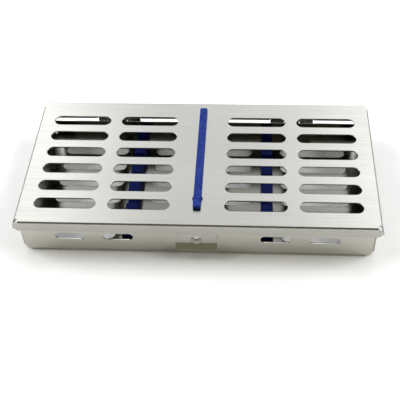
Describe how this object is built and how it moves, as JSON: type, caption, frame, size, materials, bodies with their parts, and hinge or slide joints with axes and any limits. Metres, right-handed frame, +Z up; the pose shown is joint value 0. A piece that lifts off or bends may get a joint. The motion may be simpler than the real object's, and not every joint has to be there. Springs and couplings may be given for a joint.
{
  "type": "instrument sterilisation cassette",
  "caption": "Shallow hinged stainless steel box with a slotted lid and tray, a front snap latch and silicone rails that grip dental hand instruments.",
  "frame": {"origin": "centre of the box's footprint, on the surface that the cassette stands on", "axes": "+X along the long side, -Y towards the latch, +Y towards the hinges, +Z up through the lid"},
  "size_m": [0.1824, 0.096, 0.0245],
  "materials": {
    "lid_steel": "fine brushed stainless, grain along X",
    "tray_steel": "fine brushed stainless, grain along X",
    "latch_steel": "fine brushed stainless",
    "pin_steel": "drawn stainless wire",
    "blue_silicone": "matt blue silicone rubber with a fine grain"
  },
  "bodies": {
    "tray": {"base_tray": "tray_steel", "left_rail": "blue_silicone", "right_rail": "blue_silicone", "left_hinge_pin": "pin_steel", "right_hinge_pin": "pin_steel"},
    "lid": {"lid_cover": "lid_steel", "lid_strip": "blue_silicone"},
    "latch": {"latch_tongue": "latch_steel"}
  },
  "joints": [
    {"name": "lid_hinge", "type": "hinge", "parent": "tray", "child": "lid", "pos_m": [0, 0.04625, 0.00995], "axis": [-1, 0, 0], "range_deg": [0, 135]},
    {"name": "latch_flex", "type": "hinge", "parent": "lid", "child": "latch", "pos_m": [0, -0.04485, 0.01635], "axis": [-1, 0, 0], "range_deg": [0, 6], "stiffness_Nm_per_rad": 0.5}
  ]
}
